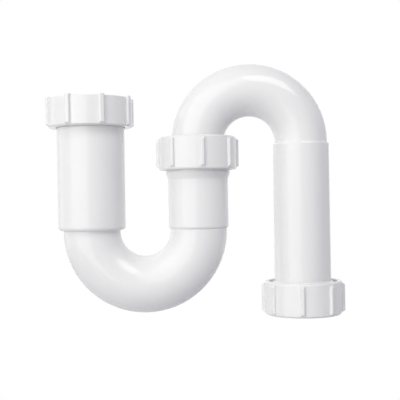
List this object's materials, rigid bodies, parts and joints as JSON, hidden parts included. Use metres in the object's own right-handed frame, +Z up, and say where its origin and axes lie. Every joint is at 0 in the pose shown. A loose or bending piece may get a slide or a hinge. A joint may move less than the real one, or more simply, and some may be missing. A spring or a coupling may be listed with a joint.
{
  "type": "s trap",
  "caption": "White plastic S trap: inlet sleeve with a ribbed union nut, a U-bend that holds the water seal, a swivel compression joint and a downward leg with a pipe socket.",
  "frame": {"origin": "on the inlet axis, in the plane of the inlet washer's top face", "axes": "+Z up, along the inlet thread; +X from the inlet towards the outlet; both bends lie in the XZ plane"},
  "size_m": [0.1803, 0.0516, 0.1535],
  "materials": {
    "trap_body": "moulded gloss",
    "inlet_nut": "moulded gloss",
    "swivel_nut": "moulded gloss",
    "outlet_body": "moulded gloss",
    "outlet_nut": "moulded gloss",
    "slip_ring": "waxy",
    "washer_rubber": "satin",
    "seal_rubber": "satin"
  },
  "bodies": {
    "trap": {"trap_bend": "trap_body", "inlet_washer": "washer_rubber", "swivel_seal": "seal_rubber"},
    "inlet_union": {"inlet_nut": "inlet_nut"},
    "swivel_gland": {"swivel_slip_ring": "slip_ring"},
    "swivel_nut": {"swivel_nut": "swivel_nut"},
    "outlet": {"outlet_bend": "outlet_body"},
    "outlet_gland": {"outlet_slip_ring": "slip_ring", "outlet_seal": "seal_rubber"},
    "outlet_nut": {"outlet_nut": "outlet_nut"}
  },
  "joints": [
    {"name": "inlet_nut_turn", "type": "hinge", "parent": "trap", "child": "inlet_union", "pos_m": [0, 0, 0], "axis": [0, 0, 1], "continuous": true},
    {"name": "outlet_swivel", "type": "hinge", "parent": "trap", "child": "outlet", "pos_m": [0.0656, 0, -0.0227], "axis": [0, 0, 1], "range_deg": [-125, 125]},
    {"name": "swivel_nut_travel", "type": "slide", "parent": "trap", "child": "swivel_gland", "axis": [0, 0, 1], "range_m": [0, 0.00346]},
    {"name": "swivel_nut_turn", "type": "hinge", "parent": "swivel_gland", "child": "swivel_nut", "pos_m": [0.0656, 0, -0.0227], "axis": [0, 0, 1], "range_deg": [0, 540]},
    {"name": "outlet_nut_travel", "type": "slide", "parent": "outlet", "child": "outlet_gland", "axis": [0, 0, -1], "range_m": [0, 0.00693]},
    {"name": "outlet_nut_turn", "type": "hinge", "parent": "outlet_gland", "child": "outlet_nut", "pos_m": [0.1292, 0, -0.1162], "axis": [0, 0, -1], "range_deg": [0, 1080]}
  ],
  "couplings": [
    {"joint": "swivel_nut_travel", "follows": "swivel_nut_turn", "m_per_rad": 0.00036749},
    {"joint": "outlet_nut_travel", "follows": "outlet_nut_turn", "m_per_rad": 0.00036749}
  ]
}
